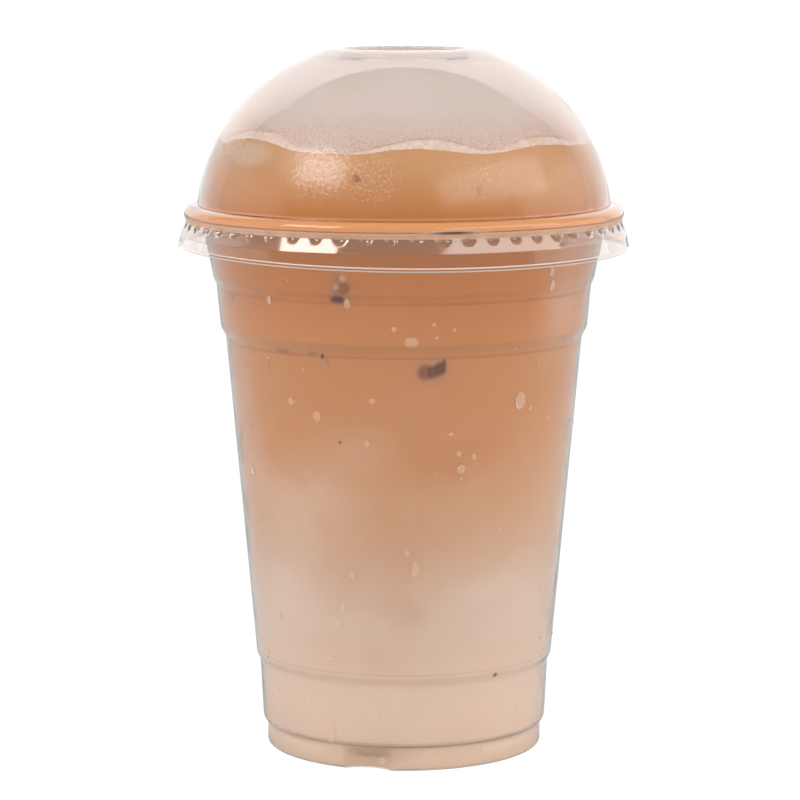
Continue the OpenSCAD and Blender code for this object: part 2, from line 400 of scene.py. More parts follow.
def fluted(radius, height, angle, grow):
    # a flute is an upright cylinder; the wall keeps the lesser of its radius and the cylinder's near side
    m = cupMake
    out = radius
    centre = m["footD"] / 2 - m["fluteDepth"] + m["fluteR"]
    near = m["fluteR"] + grow
    fadeLow, fadeHigh = m["fluteFade"]
    below = 1 - smoothRamp(height, m["footH"] + fadeLow + grow, m["footH"] + fadeHigh + grow)
    for k in range(m["flutes"]):
        turn = angle - np.radians(m["fluteTurn"] + 360.0 * k / m["flutes"])
        turn = (turn + np.pi) % (2 * np.pi) - np.pi
        inside = near ** 2 - (centre * np.sin(turn)) ** 2
        side = centre * np.cos(turn) - np.sqrt(np.maximum(inside, 0))
        dent = np.where((inside > 0) & (np.abs(turn) < 1), side, 1e3)
        pressed = softLess(np.minimum(dent, radius + 3), radius, m["fluteSoft"])
        out = out + (np.minimum(pressed, radius) - radius) * below * (radius > m["fluteFrom"])
    return out


under, wall = cupOutside()
rollX, rollZ = cupMake["rimD"] / 2 - cupMake["curlR"], cupMake["height"] - cupMake["curlR"]
roll = arcLine(rollX, rollZ, cupMake["curlR"] - cupMake["wall"], 180, cupMake["curlEnd"], 22)
cupLine = fillRows(dropTwins(np.vstack([under, wall, roll])), cupMake["longestRow"])
sheet = wallAt(cupLine[:, 1])
cupRows = np.vstack([cupLine, offsetLine(cupLine, sheet)[::-1]])
grows = np.r_[np.zeros(len(cupLine)), sheet[::-1]][:, None]
turns = roundTurns(cupMake["around"])
cupR = fluted(cupRows[:, :1] + 0 * turns, cupRows[:, 1:], turns, grows)
points, faces = spun(cupR, cupRows[:, 1:], turns, (cupRows[0, 1], cupRows[-1, 1]))
cupShell = meshObject("cupShell", points, faces, "cup")
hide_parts("cup")


def cupMaterial():
    # clear drawn plastic, a little hazy where breath of cold has settled on it
    material, tree, place = newMaterial("clearCupPlastic")
    smear = noiseValue(tree, place, cupMake["smearScale"], 2.0)
    rough = ramped(tree, smear, 0.42, 0.72, *cupMake["rough"])
    body = glassShader(tree, cupMake["tint"], rough, sheetNormal(tree, place))
    return finishMaterial(material, letLightThrough(tree, body))


cupShell.data.materials.append(cupMaterial())
print("cup:", len(faces), "faces")


# the lid: a clear dome with a straw well, a bead over the rim and a flared skirt with pressed dimples

lidMake = {
    "wall": 0.4, "beadGap": 0.3, "beadOut": 0.45, "beadUp": 0.15, "domeH": 35.9, "domeIn": 1.7,
    "domeWidest": -3.4, "topRing": 3.1, "browR": 6.0,
    "wellR": 13.6, "wellDepth": 2.0, "wellLean": 0.7, "lipR": 0.8, "lipFrom": 175.0, "holeR": 10.0,
    "neckGap": 0.45, "neckDrop": 1.6, "neckIn": 0.12, "toothH": 3.2, "toothFlare": 1.12,
    "flareH": 3.1, "flare": 0.48, "hemOut": 0.4, "hemH": 0.6,
    "beadLap": 0.2, "beadEnd": -36.0, "beadRunIn": 8.0,
    # how far in mm the thin hem hangs off true: up all round, up towards the left, down at the front
    "hemLift": 0.45, "hemSide": 0.45, "hemFront": -1.0,
    # the dimples, how far they sit above the band's middle, how steep they are, and how they lean
    "dimples": 56, "dimpleR": 1.4, "dimpleUp": 1.35, "dimpleDepth": 0.6, "dimpleSteep": 1.15,
    "dimpleIn": 0.95, "dimpleDrop": 0.3,
    # where the columns of one dimple's share of the skirt stand, closest over the dimple
    "columns": [-0.5, -0.36, -0.27, -0.21, -0.15, -0.08, 0, 0.08, 0.15, 0.21, 0.27, 0.36],
    # rows stand this share of a stretch from the bends of the skirt; the skirt lies outside skirtFrom
    "edgeRow": 0.25, "bendRow": 0.3, "toothRows": 13, "skirtFrom": 48.0, "longestRow": 3.2,
}


def lidOutside():
    # the line from the straw hole out over the well, the dome, the bead and the skirt to the hem
    m, c = lidMake, cupMake
    rim = c["rimD"] / 2
    beadR = c["curlR"] + m["beadGap"] + m["wall"]
    beadX, beadZ = rollX + m["beadOut"], rollZ + m["beadUp"]
    topZ = c["height"] + m["domeH"]
    domeR, domeZ = rim - m["domeIn"], c["height"] + m["domeWidest"]
    span = domeR - (m["wellR"] + m["lipR"] + m["topRing"])
    arcR = ((topZ - domeZ) ** 2 + span ** 2) / (2 * span)
    domeX = domeR - arcR
    beadFrom = 90 + np.degrees(np.arcsin((beadX - domeR + m["beadLap"]) / beadR))
    beadTop = beadZ + beadR * np.sin(np.radians(beadFrom))
    domeFrom = np.degrees(np.arcsin((beadTop - domeZ) / arcR))
    browZ = topZ - m["browR"]
    browX = domeX + np.sqrt((arcR - m["browR"]) ** 2 - (browZ - domeZ) ** 2)
    browTo = np.degrees(np.arctan2(browZ - domeZ, browX - domeX))
    neckR, neckZ = rim + m["neckGap"] + m["wall"] - m["neckIn"], beadZ - m["neckDrop"]
    creaseR, creaseZ = neckR + m["toothFlare"], neckZ - m["toothH"]
    hemZ = creaseZ - m["flareH"]
    crease = np.array([creaseR, creaseZ])
    bend = np.array([creaseR + m["flare"], hemZ + m["hemH"]])
    end = bend + [m["hemOut"], -m["hemH"]]
    tooth = np.linspace([neckR, neckZ], crease, m["toothRows"])
    near = m["edgeRow"]
    close = near * m["bendRow"]
    skirt = [crease + (tooth[-2] - crease) * near, crease, crease + (bend - crease) * close,
             bend + (crease - bend) * close, bend, bend + (end - bend) * near,
             end + (bend - end) * near, end]
    wellZ = topZ - m["wellDepth"]
    line = np.vstack([[[m["holeR"], wellZ], [m["wellR"] + m["wellLean"], wellZ]],
                      arcLine(m["wellR"] + m["lipR"], topZ - m["lipR"], m["lipR"], m["lipFrom"], 90, 5),
                      arcLine(browX, browZ, m["browR"], 90, browTo, 6),
                      arcLine(domeX, domeZ, arcR, browTo, domeFrom, 16)[1:],
                      arcLine(beadX, beadZ, beadR, beadFrom - m["beadRunIn"], m["beadEnd"], 14),
                      tooth[:-1], skirt])
    facts = {"neckR": neckR, "neckZ": neckZ, "creaseR": creaseR, "creaseZ": creaseZ, "topZ": topZ,
             "domeX": domeX, "domeZ": domeZ, "arcR": arcR, "beadX": beadX, "beadZ": beadZ, "beadR": beadR}
    return line, facts


def dimpled(rows, angle):
    # a dimple is a round dent that hangs from the neck: depth times 1 - (distance / radius) squared;
    # the hem's warp grows from the crease down
    m, f = lidMake, lidFacts
    radius, height = rows[:, :1], rows[:, 1:]
    pitch = 2 * np.pi / m["dimples"]
    midZ, midR = f["neckZ"] - m["toothH"] / 2 + m["dimpleUp"], (f["neckR"] + f["creaseR"]) / 2
    sideways = (angle % pitch - pitch / 2) * midR
    reach = np.sqrt(sideways ** 2 + (height - midZ) ** 2)
    onSkirt = radius > m["skirtFrom"]
    onBand = (height > f["creaseZ"] - 0.5) & (height < f["neckZ"] - 0.05) & onSkirt
    dent = m["dimpleDepth"] * np.clip(m["dimpleSteep"] * (1 - (reach / m["dimpleR"]) ** 2), 0, 1) * onBand
    below = np.clip((f["creaseZ"] - height) / (m["flareH"] - m["hemH"]), 0, 1) * onSkirt
    warp = m["hemLift"] - m["hemSide"] * np.sin(angle) + m["hemFront"] * np.maximum(np.cos(angle), 0) ** 2
    return radius - dent * m["dimpleIn"], height - dent * m["dimpleDrop"] + below * warp


lidLine, lidFacts = lidOutside()
lidLine = fillRows(dropTwins(lidLine), lidMake["longestRow"])
lidRows = np.vstack([lidLine[::-1], offsetLine(lidLine, -lidMake["wall"])])
share = np.arange(lidMake["dimples"])[:, None] + 0.5 + np.array(lidMake["columns"])[None, :]
turns = 2 * np.pi * share.reshape(1, -1) / lidMake["dimples"]
lidR, lidZ = dimpled(lidRows, turns)
points, faces = spun(lidR, lidZ, turns, loop=True)
lidShell = meshObject("lidShell", points, faces, "lid")
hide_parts("lid")

# an attribute that is 1 along the hem's bend and its cut edge, on both sides of the sheet, where the lid's
# material paints a white highlight
glint = np.zeros(len(lidLine))
glint[[-4, -1]] = 1.0
glint = np.repeat(np.r_[glint[::-1], glint], turns.size)
lidShell.data.attributes.new("hemGlint", "FLOAT", "POINT").data.foreach_set("value", glint)
print("lid:", len(faces), "faces")


# the drink: milk tea up into the dome, with a wavy waterline

drinkMake = {
    # gap to the cup as a share of its sheet, gap to the lid, the drink's level and its dip towards the axis
    "gap": 0.24, "lidGap": 0.3, "level": 139.8, "dip": 1.2, "aboveRim": 0.4,
    "around": 360, "domeRows": 14, "topRows": 12, "longestRow": 1.6,
    # angle from the front and height of the drink's edge on the dome
    "waves": [(-90, 140.2), (-82, 140.1), (-71, 139.4), (-65, 140.6), (-55, 141.2), (-47, 140.9),
              (-40, 140.0), (-35, 139.2), (-27, 139.0), (-15, 138.8), (-10, 139.1), (-4, 139.8), (4, 140.1),
              (12, 139.7), (19, 139.0), (25, 138.8), (31, 139.1), (37, 139.7), (44, 140.1), (52, 140.0),
              (60, 139.5), (75, 139.3), (90, 139.7), (130, 140.3), (180, 139.4), (230, 140.2)],
}


def readRound(angle, pairs):
    # the value at an angle, read between the listed angles in degrees
    at, value = zip(*pairs)
    return np.interp(np.degrees(angle), at, value, period=360)


def waterline(angle):
    # the height of the drink's edge on the dome
    return readRound(angle, drinkMake["waves"])


def domeInside(height, inset):
    # the radius of the dome's arc at a height, less the inset
    f = lidFacts
    return f["domeX"] + np.sqrt(np.maximum((f["arcR"] - inset) ** 2 - (height - f["domeZ"]) ** 2, 0))


def topOfDrink(edge, share):
    # the height of the drink's top: it dips by the sixth power of the share of the radius
    low = drinkMake["level"] - drinkMake["dip"]
    return low + (edge - low) * share ** 6


def drinkGap(height):
    # the sheet's thickness, and clearance as a share of it
    return wallAt(height) * (1 + drinkMake["gap"])


rimZ = cupMake["height"] + drinkMake["aboveRim"]
drinkInset = lidMake["wall"] + drinkMake["lidGap"]
filled = dropTwins(np.vstack([under, wall, [[rollX - cupMake["curlR"] + cupMake["wall"], rollZ]]]))
filled = offsetLine(filled, drinkGap(filled[:, 1]))
filled = fillRows(np.vstack([filled, [[filled[-1, 0], rimZ]]]), drinkMake["longestRow"])
turns = roundTurns(drinkMake["around"])
sideR = fluted(filled[:, :1] + 0 * turns, filled[:, 1:], turns, drinkGap(filled[:, 1:]))
sideZ = filled[:, 1:] + 0 * turns
edgeZ = waterline(turns)
domeZ = rimZ + (edgeZ - rimZ) * np.linspace(0, 1, drinkMake["domeRows"])[:, None]
domeR = domeInside(domeZ, drinkInset)
share = np.linspace(0.985, 0.05, drinkMake["topRows"])[:, None]
drinkR = np.vstack([sideR, domeR, domeR[-1:] * share])
drinkZ = np.vstack([sideZ, domeZ, topOfDrink(edgeZ, share)])
points, faces = spun(drinkR, drinkZ, turns, (filled[0, 1], drinkMake["level"] - drinkMake["dip"]))
milkTea = meshObject("milkTea", points, faces, "cup")
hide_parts("tea")

# the drink's side at the front, from the foot up to its edge, as rows of radius and height
rows = slice(len(under), len(sideR) + len(domeR))
frontLine = np.column_stack([drinkR[rows, 0], drinkZ[rows, 0]])


def onWall(angleDeg, height):
    # the point of the drink's side at an angle from the front and a height, in metres
    radius = np.interp(height, frontLine[:, 1], frontLine[:, 0])
    a = np.radians(angleDeg)
    return np.array([radius * np.sin(a), -radius * np.cos(a), height]) * mm


teaPaint = {
    # height in mm and colour of the drink, from the foot up; the heights waver by a swirl in metres
    "layers": [(0, (224, 191, 163)), (12, (238, 209, 188)), (25, (229, 197, 173)), (36, (221, 194, 174)),
               (50, (214, 171, 138)), (63, (210, 158, 115)), (80, (205, 137, 85)), (93, (200, 136, 81)),
               (100, (204, 131, 72)), (112, (191, 114, 46)), (128, (205, 134, 70)), (140, (217, 166, 118))],
    "swirl": 0.018,
    # patches: angle from the front, height, half width and half height in mm, and their share of cream (+)
    # or brown (-); their edges wander by so many metres
    "patches": [
        (15.2, 75.0, 10.9, 6.4, -0.5), (-45.2, 79.5, 4.8, 3.2, -0.25), (-38.5, 61.3, 13.0, 8.0, 0.35),
        (-18.1, 73.8, 6.5, 4.1, 0.2), (-47.1, 37.6, 8.3, 11.4, 0.55), (37.7, 38.4, 14.1, 8.0, 0.6),
        (-8.6, 43.3, 9.8, 8.0, -0.35), (-1.5, 36.5, 4.3, 3.4, -0.3), (16.0, 58.0, 15.2, 8.0, -0.15),
        (-12.9, 27.1, 8.7, 4.5, -0.15), (55.2, 105.5, 5.3, 10.1, 0.25), (-64.8, 75.2, 4.0, 14.6, 0.2),
        (0, 106, 26, 10, -0.2), (150, 70, 14, 9, 0.3), (-130, 60, 12, 8, 0.35), (110, 45, 11, 9, 0.4),
        (-165, 88, 12, 7, -0.35), (170, 44, 10, 8, -0.3), (-105, 38, 10, 8, 0.45)],
    "cream": (232, 206, 188), "brown": (196, 118, 70), "wander": 0.012,
    # height, half height, strength and colour of the painted shade lines under the shoulders and the foot's
    # step
    "shoulderShadeLines": [(106.5, 0.34, 0.55, (168, 92, 54)), (94.5, 0.34, 0.55, (170, 96, 60)),
              (22.4, 0.25, 0.2, (178, 120, 84)), (5.7, 0.22, 0.62, (122, 66, 36))],
    # painted shade under the foot's step and a painted highlight in the front flute's corner: place and
    # size, strength and colour
    "foot": [(-10.5, 4.1, 7.0, 2.2, 0.26, (164, 108, 72)), (-15.0, 1.9, 1.1, 1.3, 0.6, (240, 222, 206))],
    # lowest and highest point of the drink in the bead, its colour and how much of it there is
    "bead": (121.2, 125.4, (248, 176, 118), 0.75),
    # the seam under the bead: lowest and highest point, colour, strength, and how much more in a wet place
    "seam": (122.5, 122.85), "seamTone": (146, 80, 42), "seamShare": (0.7, 0.3),
    "seamWet": (11.8, 122.7, 4.6, 1.0),
    # marks where ice and leaf lie at the wall: place and size, darkness and colour; each has a wider halo
    "marks": [
        (-19.2, 108.7, 1.35, 1.15, 0.7, (150, 92, 64)), (-17.6, 110.1, 1.37, 1.30, 0.8, (134, 70, 42)),
        (-19.5, 112.1, 0.58, 0.87, 0.6, (150, 104, 80)), (-21.2, 108.9, 0.58, 1.09, 0.45, (165, 125, 100)),
        (-19.8, 107.4, 1.66, 0.86, 0.95, (80, 36, 20)), (-17.7, 112.2, 0.73, 0.70, 0.8, (206, 164, 130)),
        (-20.0, 110.2, 0.65, 0.61, 0.8, (202, 156, 126)), (-16.9, 107.0, 0.55, 0.52, 0.6, (200, 150, 125)),
        (-41.3, 95.0, 2.03, 0.57, 0.7, (146, 104, 82)), (-29.8, 94.9, 1.25, 0.61, 0.65, (152, 102, 76)),
        (-26.3, 94.5, 0.44, 0.65, 0.85, (105, 58, 34)), (-24.7, 93.5, 0.53, 0.98, 0.6, (158, 112, 88)),
        (-48.3, 91.6, 0.39, 0.78, 0.6, (148, 102, 84)), (6.7, 91.4, 1.75, 1.65, 0.9, (126, 60, 38)),
        (9.2, 91.4, 1.54, 1.35, 0.9, (106, 48, 30)), (11.3, 92.2, 1.33, 1.48, 0.9, (80, 36, 26)),
        (12.5, 93.5, 0.49, 0.87, 0.75, (84, 48, 40)), (-14.1, 134.2, 0.67, 0.52, 0.8, (178, 90, 54)),
        (-12.9, 133.7, 0.67, 0.57, 0.85, (166, 78, 44)), (-64.9, 105.5, 1.03, 1.09, 0.55, (118, 78, 58)),
        (20.8, 131.4, 0.4, 1.8, 0.4, (150, 96, 74)), (46.1, 134.9, 0.6, 0.6, 0.6, (212, 176, 150)),
        (37.6, 21.1, 0.6, 0.5, 0.8, (110, 30, 22)), (-51.7, 138.0, 6.5, 2.6, 0.75, (218, 190, 164)),
        (-21.3, 75.4, 0.3, 0.3, 0.9, (64, 36, 26)), (60, 136.0, 1.4, 3.6, 0.35, (176, 128, 100)),
        (112, 100, 2.4, 1.8, 0.7, (96, 56, 40)), (152, 108, 3.0, 2.0, 0.7, (88, 50, 36)),
        (155, 106, 1.4, 1.2, 0.85, (64, 34, 26)), (-112, 99, 2.6, 1.7, 0.7, (100, 60, 44)),
        (-160, 82, 1.8, 1.2, 0.6, (110, 66, 48))],
    "haloSize": 1.9, "haloShare": 0.13, "haloTone": (120, 104, 100),
    "grainScale": 1500.0, "grainShare": 0.10, "grainTone": (150, 92, 62),
}


def teaLayers(tree, lifted):
    # a colour ramp over the height, from the foot's milk to the tea under the froth
    layers = teaPaint["layers"]
    top = layers[-1][0]
    inputs = {"Value": lifted, "From Min": 0.0, "From Max": top * mm}
    scale = putNode(tree, "ShaderNodeMapRange", inputs).outputs["Result"]
    ramp = putNode(tree, "ShaderNodeValToRGB", {"Fac": scale})
    ramp.color_ramp.interpolation = "B_SPLINE"
    stops = ramp.color_ramp.elements
    for z, tone in layers[1:-1]:
        stops.new(z / top).color = paint(*tone)
    stops[0].color, stops[len(stops) - 1].color = paint(*layers[0][1]), paint(*layers[-1][1])
    return ramp.outputs["Color"]


def teaMaterial():
    # layers from milk to tea, with torn patches, painted shade lines under the shoulders, painted shade and
    # a painted highlight at the foot, and marks of ice and leaf
    material, tree, place = newMaterial("milkTea")
    p = teaPaint
    height = heightOf(tree, place)
    swirl = noiseValue(tree, place, 26.0, 2.5, 0.5, 0.8)
    cloud = noiseValue(tree, place, 60.0, 3.0, 0.55, 0.5)
    colour = teaLayers(tree, shifted(tree, height, swirl, p["swirl"]))
    drift = noiseValue(tree, place, 70.0, 3.0, 0.6, result="Color")
    drift = vectorWorked(tree, "SUBTRACT", drift, (0.5, 0.5, 0.5))
    wander = vectorWorked(tree, "MULTIPLY_ADD", drift, (p["wander"],) * 3, place)
    torn = ramped(tree, cloud, 0.3, 0.62, 0.35, 1.0)
    for *spot, amount in p["patches"]:
        tone = p["cream" if amount > 0 else "brown"]
        colour = painted(tree, colour, tone, nearMark(tree, wander, *spot, 0.9), torn, abs(amount))
    # painted shade: a darker line under each shoulder and under the foot's step
    for z, high, strength, tone in p["shoulderShadeLines"]:
        uneven = ramped(tree, cloud, 0.3, 0.7, 0.55 * strength, strength)
        colour = painted(tree, colour, tone, bandMask(tree, height, z - high, z + high, 0.22), uneven)
    # painted shade under the foot's step, and a painted highlight in the front flute
    for *spot, strength, tone in p["foot"]:
        colour = painted(tree, colour, tone, nearMark(tree, place, *spot, 0.7), strength)
    low, high, tone, strength = p["bead"]
    colour = painted(tree, colour, tone, bandMask(tree, height, low, high, 0.3), strength)
    broken = ramped(tree, noiseValue(tree, place, 700.0, 2.0), 0.3, 0.6, 0.75, 1.0)
    for angle, z, wide, high, dark, tone in p["marks"]:
        halo = nearMark(tree, place, angle, z, wide * p["haloSize"], high * p["haloSize"], 0.8)
        colour = painted(tree, colour, p["haloTone"], halo, p["haloShare"] * dark)
        colour = painted(tree, colour, tone, nearMark(tree, place, angle, z, wide, high, 0.45), broken, dark)
    dry, wetter = p["seamShare"]
    wet = worked(tree, "ADD", product(tree, nearMark(tree, place, *p["seamWet"], 0.4), wetter), dry)
    colour = painted(tree, colour, p["seamTone"], bandMask(tree, height, *p["seam"], 0.12), wet)
    grain = ramped(tree, noiseValue(tree, place, p["grainScale"], 2.0), 0.62, 0.8, 0.0, p["grainShare"])
    colour = painted(tree, colour, p["grainTone"], grain)
    relief = bumped(tree, cloud, 0.15, 0.0003)
    return finishMaterial(material, principled(tree, colour, 0.45, relief, Specular_IOR_Level=0.15))


milkTea.data.materials.append(teaMaterial())
print("tea:", len(faces), "faces")


# the lid's plastic, which is placed by the drink's wall behind it

lidPaint = {
    # the tint seen straight on and along the edge, and where one turns to the other
    "tint": (0.92, 0.875, 0.855, 1), "edgeTint": (0.75, 0.61, 0.55, 1), "tintTurn": (0.32, 0.90),
    # roughness of the clean sheet, of the damp on it between two heights in mm, and in the glare's places
    "polish": 0.04, "damp": (126.0, 140.0, 2.0), "dampRough": (0.06, 0.11), "glareRough": 0.055,
    # angle, height, half width and half height of the places where damp breaks up the lamps' mirror images,
    # and of the patches of fine white drops, whose white dots are partly painted glints, with their strength
    "glare": [(-22.0, 134.0, 20.0, 12.0), (26.0, 133.0, 22.0, 12.0)],
    "dewAndGlints": [(-24.0, 136.5, 6.5, 6.5, 0.55), (-9.0, 134.0, 6.0, 5.5, 0.3), (25.0, 135.0, 12.0, 6.0, 0.2),
            (-60.0, 139.0, 9.0, 3.0, 0.3)],
    # a dark streak of drink caught under the bead
    "caught": (12.4, 122.7, 6.5, 0.45), "caughtTone": (48, 24, 16), "caughtShare": 0.8,
    # gloss and haze of the pressed band; how white the hem is, as a painted highlight; how white the well's
    # lip is, partly milky sheet and partly painted reflection; and how white the bead's foot is
    "gloss": (0.98, 0.85, 0.76, 1), "glossShare": 0.13, "bandHaze": 0.02, "hemGlintShare": 0.7, "lipShare": 0.28,
    "frostAndGlint": (0.86, 0.80, 0.76, 1), "warmFrost": (222, 182, 152), "warmShare": (0.45, 0.7),
}


def lidMaterial():
    # clear, slightly warm plastic; the pressed band under the bead is glossier; painted white highlights
    # mark the hem's bend and cut edge, the well's lip is partly painted white as a reflection, and white
    # dots in the dew are partly painted glints
    material, tree, place = newMaterial("clearLidPlastic")
    p, f = lidPaint, lidFacts
    height = heightOf(tree, place)
    patchy = 0.0
    for *spot, strength in p["dewAndGlints"]:
        patchy = greatest(tree, patchy, product(tree, nearMark(tree, place, *spot, 0.8), strength))
    drops = product(tree, noiseValue(tree, place, 1100.0, 1.0), patchy)
    normal = bumped(tree, drops, 0.6, 0.0003, Normal=sheetNormal(tree, place))
    smear = ramped(tree, noiseValue(tree, place, 90.0, 3.0), 0.35, 0.7, *p["dampRough"])
    rough = worked(tree, "ADD", product(tree, bandMask(tree, height, *p["damp"]), smear), p["polish"])
    for spot in p["glare"]:
        rough = worked(tree, "ADD", rough, product(tree, nearMark(tree, place, *spot, 0.7), p["glareRough"]))
    edge = putNode(tree, "ShaderNodeLayerWeight", {"Blend": 0.5}).outputs["Facing"]
    tint = mixed(tree, ramped(tree, edge, *p["tintTurn"]), p["tint"], p["edgeTint"])
    body = glassShader(tree, tint, rough, normal)
    gloss = putNode(tree, "ShaderNodeBsdfGlossy", {"Color": p["gloss"], "Roughness": 0.08, "Normal": normal})
    band = bandMask(tree, height, f["creaseZ"], f["neckZ"], 0.15)
    body = blended(tree, product(tree, band, p["glossShare"]), body, gloss.outputs[0])
    warm = bandMask(tree, height, f["neckZ"] - 0.1, f["beadZ"] - 0.55, 0.2)
    caught = nearMark(tree, place, *p["caught"], 0.5)
    frostAndGlintColour = painted(tree, painted(tree, p["frostAndGlint"], p["warmFrost"], warm), p["caughtTone"], caught)
    milky = product(tree, warm, ramped(tree, noiseValue(tree, place, 160.0, 2.0), 0.3, 0.7, *p["warmShare"]))
    # painted highlight: the hem's bend and cut edge turn white where the sheet's edge catches the light
    hem = putNode(tree, "ShaderNodeAttribute", attribute_name="hemGlint").outputs["Fac"]
    # the well's lip turns white: partly the sheet's own milkiness, partly a painted reflection of the light
    # above it
    lip = ramped(tree, height, (f["topZ"] - 0.9) * mm, (f["topZ"] - 0.2) * mm, 0.0, p["lipShare"])
    # white dots of the dew: real drops, partly painted glints where they catch the lamps
    dewAndGlints = product(tree, ramped(tree, cellValue(tree, place, 1500.0), 0.15, 0.4, 1.0, 0.0), patchy)
    # white dull shares: frost and haze of the sheet, drink caught under the bead, and painted highlights on
    # the hem, the lip and the dew
    frostAndGlints = greatest(tree, product(tree, hem, p["hemGlintShare"]), lip, milky, dewAndGlints,
                       product(tree, caught, p["caughtShare"]), product(tree, band, p["bandHaze"]))
    body = blended(tree, frostAndGlints, body, diffuse(tree, frostAndGlintColour, 0.5))
    return finishMaterial(material, letLightThrough(tree, body))


lidShell.data.materials.append(lidMaterial())


# the drink that has crept between the rolled rim and the lid's bead

rimMake = {"clear": 0.08, "from": 112.0, "to": -34.0, "steps": 14, "around": 360}


def rimFilm():
    # out along the inside of the bead and back along the outside of the rolled rim
    m, f = rimMake, lidFacts
    beadIn, curlOut = f["beadR"] - lidMake["wall"] - m["clear"], cupMake["curlR"] + m["clear"]
    return np.vstack([arcLine(f["beadX"], f["beadZ"], beadIn, m["from"], m["to"], m["steps"]),
                      arcLine(rollX, rollZ, curlOut, m["to"], m["from"], m["steps"])])


film = rimFilm()
turns = roundTurns(rimMake["around"])
points, faces = spun(film[:, :1] + 0 * turns, film[:, 1:], turns, loop=True)
rimTea = meshObject("rimTea", points, faces, "cup")
rimTea.data.materials.append(milkTea.data.materials[0])


# the froth on the drink, risen a little up the dome's wall

frothMake = {
    # the lip at the glass: angle and height in mm, its waves' height, and their number, phase and share
    "lip": [(-90, 1.8), (-62, 2.0), (-54, 3.3), (-42, 3.2), (-34, 1.7), (-26, 1.2), (-14, 1.2), (-5, 1.7),
            (2, 2.8), (10, 3.3), (17, 2.7), (23, 1.5), (30, 1.2), (37, 2.5), (46, 3.3), (56, 2.7),
            (64, 1.5), (90, 2.2), (140, 1.4), (180, 2.8), (230, 1.6)],
    "lipWave": 0.5, "lipWaves": [(5, 0.4, 0.5), (9, 2.1, 0.3), (17, 4.0, 0.2)],
    # the lip's gap to the drink, how far it is rounded off, and from which share of its height
    "edgeGap": 0.02, "roundOff": 0.35, "roundFrom": 0.7,
    # heights of underside and top above the drink; beyond climbFrom of the radius the top climbs to the lip
    "under": 0.08, "above": 1.9, "climbFrom": 0.72,
    # the lumps: height, closeness, where they begin near the axis, and their waves across and round
    "bump": 0.55, "bumpClose": 9.1, "bumpIn": 0.3, "bumpWaves": [(1, 3), (2, -5), (3, 8)],
    "sideRows": 5, "topRows": 26, "underRows": 10,
    # scale and share of large and small bubbles, the colours of foam, of tea between and of thinner patches
    "bubbles": [(900.0, 0.6), (2200.0, 0.4)], "foam": (246, 230, 220), "between": (234, 208, 190),
    "thin": (218, 176, 144), "thinShare": 0.3,
}


def frothLip(angle):
    # the listed height plus a sum of share times sin(n angle + phase)
    m = frothMake
    wave = sum(share * np.sin(n * angle + phase) for n, phase, share in m["lipWaves"])
    return readRound(angle, m["lip"]) + m["lipWave"] * wave


def frothRows(angle):
    # the underside out to the drink's edge, the side up to the lip, and the lumpy top back to the axis
    m = frothMake
    edge, lip = waterline(angle), frothLip(angle)
    underShare = np.linspace(0.05, 0.995, m["underRows"])[:, None]
    underR = domeInside(edge, drinkInset) * underShare
    underZ = topOfDrink(edge, underShare) + m["under"]
    rise = np.linspace(0, 1, m["sideRows"])[:, None]
    sideZ = edge + m["edgeGap"] + lip * rise
    rounded = np.maximum(rise - m["roundFrom"], 0) / (1 - m["roundFrom"])
    sideR = domeInside(sideZ, drinkInset) - m["roundOff"] * rounded
    share = np.linspace(0.97, 0.04, m["topRows"])[:, None]
    lumps = sum(np.sin(k * m["bumpClose"] * share + n * angle + k) * (0.5 / k) for k, n in m["bumpWaves"])
    climb = smoothRamp(share, m["climbFrom"], 1.0)
    lumps = m["bump"] * lumps * smoothRamp(share, 0.0, m["bumpIn"]) * (1 - climb)
    level = drinkMake["level"] + m["above"]
    topZ = level + lumps + (edge + lip - level) * climb
    return np.vstack([underR[:-1], sideR, sideR[-1:] * share]), np.vstack([underZ[:-1], sideZ, topZ])


turns = roundTurns(drinkMake["around"])
frothR, frothZ = frothRows(turns)
points, faces = spun(frothR, frothZ, turns, (frothZ[0, 0], float(frothZ[-1].mean())))
frothTop = meshObject("frothTop", points, faces, "cup")
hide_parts("froth")


def frothMaterial():
    # cream foam: small bubbles of two sizes with darker tea between them
    material, tree, place = newMaterial("milkFroth")
    p = frothMake
    big, small = (product(tree, cellValue(tree, place, scale), share) for scale, share in p["bubbles"])
    foam = worked(tree, "ADD", big, small)
    colour = painted(tree, paint(*p["foam"]), p["between"], ramped(tree, foam, 0.15, 0.75))
    thinner = ramped(tree, noiseValue(tree, place, 130.0, 3.0), 0.5, 0.75, 0.0, p["thinShare"])
    colour = painted(tree, colour, p["thin"], thinner)
    relief = {"Strength": 0.4, "Distance": 0.0003, "Height": foam}
    relief = putNode(tree, "ShaderNodeBump", relief, invert=True).outputs[0]
    return finishMaterial(material, principled(tree, colour, 0.6, relief, Specular_IOR_Level=0.2))


frothTop.data.materials.append(frothMaterial())
print("froth:", len(faces), "faces")


# ice: five cubes float, five lie in the drink

iceMake = {
    "side": 15.9, "power": 4.6, "steps": 14, "dent": 0.25, "dentWave": 3.1, "seed": 11,
    # angle from the front, tilt and turn of each cube, as the model has them
    "cubes": {"ice_1": (-20, 20, 10), "ice_2": (9, 32, 25), "ice_3": (-43, 15, 40), "ice_4": (150, 30, 12),
              "ice_5": (-110, 14, 28), "ice_6": (-42, 25, 15), "ice_7": (30, 12, 30), "ice_8": (102, 28, 5),
              "ice_9": (174, 18, 35), "ice_10": (-114, 22, 20)},
    "clear": (0.93, 0.93, 0.93, 1), "milk": (226, 208, 194), "milkShare": (0.25, 0.8),
}


def turnAbout(axis, degrees):
    # the matrix of a turn about one axis, of cosines and sines
    c, s = np.cos(np.radians(degrees)), np.sin(np.radians(degrees))
    return np.array({"x": [[1, 0, 0], [0, c, -s], [0, s, c]], "y": [[c, 0, s], [0, 1, 0], [-s, 0, c]],
                     "z": [[c, -s, 0], [s, c, 0], [0, 0, 1]]}[axis])


